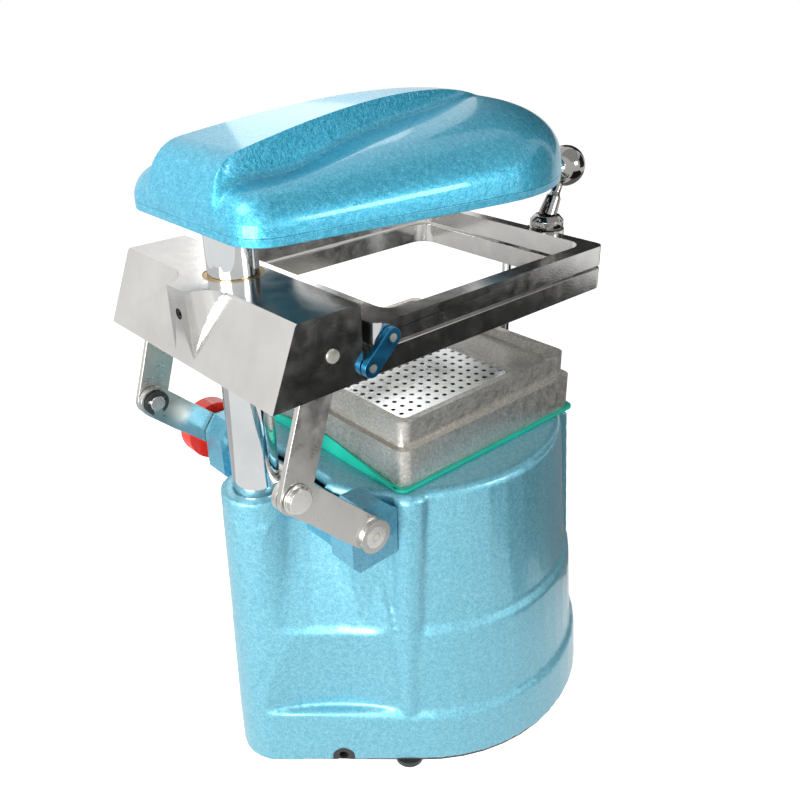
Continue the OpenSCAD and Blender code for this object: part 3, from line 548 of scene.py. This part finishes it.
def makePlate(v):
    low, top = (Vector(c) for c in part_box("perforated_plate"))
    rowCentre = v["firstRow"] - (v["rows"] - 1) / 2 * v["pitch"]
    return growPiece("perforatedPlate", [((low.x + top.x) / 2, rowCentre * mm, low.z)], plateTree(), {
        "Columns": v["columns"], "Rows": v["rows"], "Hole sides": v["holeSides"],
        "Pitch": v["pitch"] * mm, "Hole radius": v["hole"] / 2 * mm, "Width": top.x - low.x,
        "Depth": top.y - low.y, "Thickness": v["thickness"] * mm, "Finish": finishes["stainless"],
    }, "base", "stainless", "perforated_plate")


print("plate made, triangles:", triangleCount(makePlate(plate)))


body = {
    "voxel": 1.3,          # mm, sets how round the cast edges are
    "smoothing": 3,
    "triangles": 185000,   # the hidden inside is thinned first, then the rest
    "cavity": 60,          # mm, width over which a space counts as the hidden inside
    "reach": 400,          # mm, how far the test rays go
}


def hiddenVertices(mesh, width, reach):
    # points whose normal meets another wall farther off than width lie in the cavity
    tree = BVHTree.FromPolygons([v.co for v in mesh.vertices], [f.vertices for f in mesh.polygons])
    found = []
    for vert in mesh.vertices:
        distance = tree.ray_cast(vert.co + vert.normal * 0.5 * mm, vert.normal, reach)[3]
        if distance and distance > width:
            found.append(vert.index)
    return found


def makeBody(v):
    # the casting is remeshed so that its edges and inner corners are as soft as cast ones
    obj = copyNode("body_casting", "bodyCasting")
    keepMesh(mergePoints(obj.data, 2e-6), obj.data)
    remesh = obj.modifiers.new("soft", "REMESH")
    remesh.mode = "VOXEL"
    remesh.voxel_size = v["voxel"] * mm
    smooth = obj.modifiers.new("smooth", "SMOOTH")
    smooth.factor = 0.5
    smooth.iterations = v["smoothing"]
    applyAll(obj)
    inside = obj.vertex_groups.new(name="inside")
    inside.add(hiddenVertices(obj.data, v["cavity"] * mm, v["reach"] * mm), 1.0, "REPLACE")
    thin = obj.modifiers.new("thin", "DECIMATE")
    thin.vertex_group = "inside"
    thin.vertex_group_factor = 1000
    thin.ratio = min(1, v["triangles"] / (2 * len(obj.data.polygons)))
    applyAll(obj)
    obj.vertex_groups.clear()
    rest = obj.modifiers.new("rest", "DECIMATE")
    rest.ratio = min(1, v["triangles"] / triangleCount(obj))
    applyAll(obj)
    obj.data.polygons.foreach_set("use_smooth", [True] * len(obj.data.polygons))
    placePiece(obj, "base", "body_paint", "body_casting")
    return obj


print("body made, triangles:", triangleCount(makeBody(body)))


dome = {
    # mm, the nose is at -Y and the post at +Y
    "half": 72.6,            # radius of the nose
    "centre": -20.5,         # Y of the nose's centre
    "rear": 115.08,          # Y of the rear face
    "seam": 322.3,           # Z of the seam with the rim
    "wall": 3.0,
    "flankInset": 0.9,
    "taperStart": -8,        # Y from which the flanks close in, and how much
    "taper": 0.148,
    "rearTaperStart": 12.8,
    "rearTaper": 0.022,
    "cornerStart": 101.1,
    "cornerRadius": 14,
    "flankPower": 3.4,       # shape of the flanks and the nose from the side
    "capStart": 97,          # Y where the rear starts to round over
    "capLength": 18.2,
    "capPower": 2.4,
    "roundPower": 0.42,
    "crestTop": 361.0,
    "crestStart": 105.1,     # Y of the crest's rear end
    "crestLength": 190,
    "crestWidth": (24.8, -29.8, 4.7),          # half width along the crest, as a polynomial
    "crestRise": (-11.7, 33.2, -9.5, -23.4),   # height along it, against crestTop
    "crestFlare": 5.0,       # width over which the crest's wall flares out
    "flarePower": 2.8,
    "saddleRear": 341.5,     # Z of the shoulders beside the crest
    "saddleRise": 14,
    "saddleStart": 105,
    "saddleLength": 165,
    "hollow": {"depth": 5, "y": 74, "length": 26, "fromCrest": 7, "width": 9},
    # rows and columns of the mesh
    "stations": 170,
    "across": 66,            # columns on either side, crest and wall columns among them
    "crestColumns": 14,
    "wallColumns": 12,
    "crestShare": 0.45,      # most that the crest and its wall may take of the width
    "wallShare": 0.6,
    # the boss under the top that the post ends in: place, then radius and Z
    "bossPlace": (0, 92.5),
    "bossProfile": [(14.02, 322.3), (18, 322.3), (18, 340), (0, 340), (0, 330.8), (14.02, 330.8)],
}


def domePlan(y, v):
    # half width of the dome at its seam
    flank = (v["half"] - v["flankInset"] - np.maximum(0, y - v["taperStart"]) * v["taper"]
             - np.maximum(0, y - v["rearTaperStart"]) * v["rearTaper"])
    start, radius = v["cornerStart"], v["cornerRadius"]
    corner = np.where(y > start, radius - np.sqrt(np.maximum(0, radius ** 2 - (y - start) ** 2)), 0)
    nose = np.sqrt(np.maximum(1e-4, v["half"] ** 2 - (y - v["centre"]) ** 2))
    return np.where(y < v["taperStart"], nose, flank - corner)


def alongCrest(y, v):
    return (v["crestStart"] - y) / v["crestLength"]


def crestHalf(y, v):
    u = alongCrest(y, v)
    a, b, c = v["crestWidth"]
    return np.maximum(1, a + b * u + c * u ** 2)


def domeHeight(x, y, v):
    # height above the seam at a place on the dome
    u = alongCrest(y, v)
    a, b, c, d = v["crestRise"]
    crest = v["crestTop"] + a + b * u + c * u ** 2 + d * u ** 3 - v["seam"]
    half = crestHalf(y, v)
    share = np.clip((v["saddleStart"] - y) / v["saddleLength"], 0, 1)
    saddle = v["saddleRear"] + v["saddleRise"] * share - v["seam"]
    nose, fromNose = y < v["centre"], y - v["centre"]
    far = np.where(nose, np.hypot(x, fromNose) / v["half"], np.abs(x) / domePlan(y, v))
    bulge = np.maximum(0, 1 - np.minimum(far, 1) ** v["flankPower"]) ** v["roundPower"]
    over = np.clip((y - v["capStart"]) / v["capLength"], 0, 1)
    cap = np.where(y < v["capStart"], 1, np.maximum(0, 1 - over ** v["capPower"]) ** v["roundPower"])
    h = v["hollow"]
    dent = h["depth"] * np.exp(-((y - h["y"]) / h["length"]) ** 2)
    dent = dent * np.exp(-((np.abs(x) - half - h["fromCrest"]) / h["width"]) ** 2)
    low = (saddle * cap - dent * cap) * bulge
    axisFar = np.where(nose, np.abs(fromNose) / v["half"], 0)
    noseRound = np.maximum(0, 1 - axisFar ** v["flankPower"]) ** v["roundPower"]
    ridge = np.maximum(crest, saddle) * cap * noseRound
    step = np.clip(1 - (np.abs(x) - half) / v["crestFlare"], 0, 1) ** v["flarePower"]
    return low + np.maximum(0, ridge - low) * step


def domeSkin(v, t):
    # rows of points from the nose to the rear, inset by t
    first = v["centre"] - v["half"] + 0.3 + 1.5 * t
    last = v["rear"] - 1.5 * t
    turn = np.linspace(0, np.pi, v["stations"])
    ys = first + (last - first) * (1 - np.cos(turn)) / 2
    y = np.concatenate([ys[:1], ys, ys[-1:]])[:, None]
    plan = domePlan(y, v)
    # columns follow the crest's edge, so that the step stays crisp
    inner = crestHalf(y, v)
    foot = np.minimum(inner + v["crestFlare"], plan * v["wallShare"])
    inner = np.minimum(inner, plan * v["crestShare"])
    top = np.linspace(0, 1, v["crestColumns"])[None, :-1] * inner
    wall = inner + (foot - inner) * np.linspace(0, 1, v["wallColumns"])[None, :-1] ** 1.7
    out = np.linspace(0, np.pi / 2, v["across"] - v["crestColumns"] - v["wallColumns"] + 2)
    far = foot + (plan - foot) * (0.45 * out / (np.pi / 2) + 0.55 * np.sin(out))[None, :]
    half = np.concatenate([top, wall, far], axis=1)
    outer = np.concatenate([-half[:, :0:-1], half], axis=1)
    y = np.repeat(y, outer.shape[1], axis=1)
    z = domeHeight(outer, y, v)
    if t:
        # a soft maximum keeps the inner skin just under the seam
        z = (np.sqrt((z - t) ** 2 + 4) + z - t) / 2 - 0.3
    z[:, 0] = z[:, -1] = 0
    z[0, :] = z[-1, :] = 0
    return np.stack([outer * (1 - t / plan), y, z + v["seam"]], axis=-1)


def makeDome(v):
    # an outer and an inner skin, joined along the seam
    outer, inner = domeSkin(v, 0), domeSkin(v, v["wall"])
    rows, columns = outer.shape[:2]
    verts = np.concatenate([outer.reshape(-1, 3), inner.reshape(-1, 3)]) * mm
    at = np.arange(rows * columns).reshape(rows, columns).tolist()
    under = rows * columns   # from a point of the outer skin to the same one of the inner
    faces = []
    for i in range(rows - 1):
        for j in range(columns - 1):
            a, b, c, d = at[i][j], at[i][j + 1], at[i + 1][j + 1], at[i + 1][j]
            faces += [(a, b, c, d), (under + d, under + c, under + b, under + a)]
    loop = [at[i][0] for i in range(rows - 1, -1, -1)] + at[0][1:]
    loop += [at[i][-1] for i in range(1, rows)] + at[-1][-2:0:-1]
    for a, b in zip(loop, loop[1:] + loop[:1]):
        faces.append((a, under + a, under + b, b))
    obj = meshObject("domeCover", verts, faces)
    bm = mergePoints(obj.data, 1e-5)
    bmesh.ops.recalc_face_normals(bm, faces=bm.faces)
    keepMesh(bm, obj.data)
    addBoss(obj, v["bossPlace"], v["bossProfile"])
    finishMesh(obj, 40)
    placePiece(obj, "dome", "body_paint", "dome_cover", "shaded_dome_paint")
    return obj


def addBoss(obj, centre, profile, steps=64):
    # a turned boss joined into a piece, profile in mm as (radius, height)
    bm = bmesh.new()
    bm.from_mesh(obj.data)
    rings = []
    for k in range(steps):
        a = 2 * math.pi * k / steps
        rings.append([bm.verts.new(((centre[0] + r * math.cos(a)) * mm,
                                    (centre[1] + r * math.sin(a)) * mm, z * mm)) for r, z in profile])
    start = len(bm.faces)
    for k in range(steps):
        one, two = rings[k], rings[(k + 1) % steps]
        for i in range(len(profile)):
            j = (i + 1) % len(profile)
            if profile[i][0] or profile[j][0]:
                bm.faces.new((one[i], one[j], two[j], two[i]))
    bm.faces.ensure_lookup_table()
    made = bm.faces[start:]
    near = list({v for f in made for v in f.verts})
    bmesh.ops.remove_doubles(bm, verts=near, dist=1e-6)
    bm.faces.ensure_lookup_table()
    bmesh.ops.recalc_face_normals(bm, faces=bm.faces[start:])
    keepMesh(bm, obj.data)


print("dome made, triangles:", triangleCount(makeDome(dome)))

replaced = {"body_casting", "dome_cover", "perforated_plate"}
replaced |= set(dressed) | {v["node"] for v in screws.values()}
for name, obj in nodes.items():
    if name not in replaced:
        obj.data.materials.clear()
        obj.data.materials.append(finishes[slotOf[name]])
print("nodes given a finish:", len(nodes) - len(replaced))


studio = {
    # metres
    "floorSize": 6.0,
    "floorGlow": 0.84,     # the camera sees this white and, on top, a floor of the grey below
    "floorSeen": 0.8,
    "floorSheen": 0.95,    # the white that metal shows
    "floorGrey": 0.6,      # what the floor throws back on the object
    "skySeen": 1.0,
    "skyFill": 0.2,
    "lampAim": (0, 0, 0.2),
    # name, place, size, power in watts
    "lamps": [
        ("keyLamp", (-0.45, 1.30, 0.45), (1.0, 0.7), 25.0),
        ("topLamp", (0.97, -0.63, 0.84), (0.40, 0.40), 0.9),
        ("overLamp", (0.35, 0.75, 1.25), (0.5, 0.5), 5.0),
        ("sideLamp", (-1.25, -0.42, 0.66), (0.35, 0.30), 4.5),
    ],
    # grey cards that only reflections see: name, centre, size, turn about Z, tilt, grey
    "cards": [
        ("sideCard", (-0.50, -0.42, 0.004), (0.62, 0.66), 0, 0, 0.02),
        ("wallCard", (0.52, 0.32, 0.004), (0.50, 0.60), 0, 0, 0.55),
        ("frontCard", (0.18, -0.62, 0.004), (0.74, 0.9), 0, 0, 0.22),
        ("skyCard", (0.41, -1.144, 0.85), (0.9, 1.0), 26, 90, 0.03),
        ("farCard", (-0.65, -1.30, 0.55), (1.1, 0.9), -26, 90, 0.04),
        ("roofCard", (-1.00, -0.60, 1.50), (2.4, 2.2), 0, 0, 0.55),
    ],
}


def emptyTree(owner, outputKind):
    owner.use_nodes = True
    tree = owner.node_tree
    tree.nodes.clear()
    return tree, tree.nodes.new(outputKind)


def shade(tree, kind, colour=1.0, strength=None):
    # a grey shader node of the given kind
    node = tree.nodes.new(kind)
    node.inputs["Color"].default_value = (colour, colour, colour, 1)
    if strength is not None:
        node.inputs["Strength"].default_value = strength
    return node.outputs[0]


def chooseBy(tree, ray, other, chosen):
    # one shader for a kind of ray, another for the rest
    mix = tree.nodes.new("ShaderNodeMixShader")
    for source, socket in zip((ray, other, chosen), mix.inputs):
        tree.links.new(source, socket)
    return mix.outputs[0]


def makeFloor(v):
    h = v["floorSize"]
    obj = meshObject("floor", [(-h, -h, 0), (h, -h, 0), (h, h, 0), (-h, h, 0)], [(0, 1, 2, 3)])
    mat = bpy.data.materials.new("paleFloor")
    tree, out = emptyTree(mat, "ShaderNodeOutputMaterial")
    rays = tree.nodes.new("ShaderNodeLightPath").outputs
    both = tree.nodes.new("ShaderNodeAddShader")
    tree.links.new(shade(tree, "ShaderNodeEmission", 1.0, v["floorGlow"]), both.inputs[0])
    tree.links.new(shade(tree, "ShaderNodeBsdfDiffuse", v["floorSeen"]), both.inputs[1])
    plain = shade(tree, "ShaderNodeBsdfDiffuse", v["floorGrey"])
    sheen = shade(tree, "ShaderNodeEmission", 1.0, v["floorSheen"])
    mirrored = chooseBy(tree, rays["Is Glossy Ray"], plain, sheen)
    seen = chooseBy(tree, rays["Is Camera Ray"], mirrored, both.outputs[0])
    tree.links.new(seen, out.inputs["Surface"])
    obj.data.materials.append(mat)


def makeWorld(v):
    world = bpy.data.worlds.new("studio")
    tree, out = emptyTree(world, "ShaderNodeOutputWorld")
    scene.world = world
    rays = tree.nodes.new("ShaderNodeLightPath").outputs
    ray = rays["Is Camera Ray"]
    for other in ("Is Glossy Ray", "Is Transmission Ray"):
        either = tree.nodes.new("ShaderNodeMath")
        either.operation = "MAXIMUM"
        tree.links.new(ray, either.inputs[0])
        tree.links.new(rays[other], either.inputs[1])
        ray = either.outputs[0]
    fill = shade(tree, "ShaderNodeBackground", 1.0, v["skyFill"])
    white = shade(tree, "ShaderNodeBackground", 1.0, v["skySeen"])
    tree.links.new(chooseBy(tree, ray, fill, white), out.inputs["Surface"])


def areaLamp(target, name, place, size, power):
    data = bpy.data.lights.new(name, "AREA")
    data.shape = "RECTANGLE"
    data.size, data.size_y = size
    data.energy = power
    obj = bpy.data.objects.new(name, data)
    obj.location = place
    aim = Vector(target) - Vector(place)
    obj.rotation_mode = "QUATERNION"
    obj.rotation_quaternion = aim.to_track_quat("-Z", "Y")
    obj.visible_camera = False
    scene.collection.objects.link(obj)


def greyCard(name, centre, size, turn, tilt, grey):
    w, h = size[0] / 2, size[1] / 2
    place = Matrix.Translation(centre) @ Matrix.Rotation(math.radians(turn), 4, "Z")
    place = place @ Matrix.Rotation(math.radians(tilt), 4, "X")
    corners = [place @ Vector((x, y, 0)) for x, y in ((-w, -h), (w, -h), (w, h), (-w, h))]
    obj = meshObject(name, corners, [(0, 1, 2, 3)])
    mat = bpy.data.materials.new(name)
    tree, out = emptyTree(mat, "ShaderNodeOutputMaterial")
    tree.links.new(shade(tree, "ShaderNodeEmission", grey), out.inputs["Surface"])
    obj.data.materials.append(mat)
    obj.visible_camera = obj.visible_diffuse = obj.visible_shadow = False
    obj.visible_transmission = obj.visible_volume_scatter = False


makeFloor(studio)
makeWorld(studio)
for card in studio["cards"]:
    greyCard(*card)
for lamp in studio["lamps"]:
    areaLamp(studio["lampAim"], *lamp)
scene.view_settings.view_transform = "Standard"
print("studio lit")
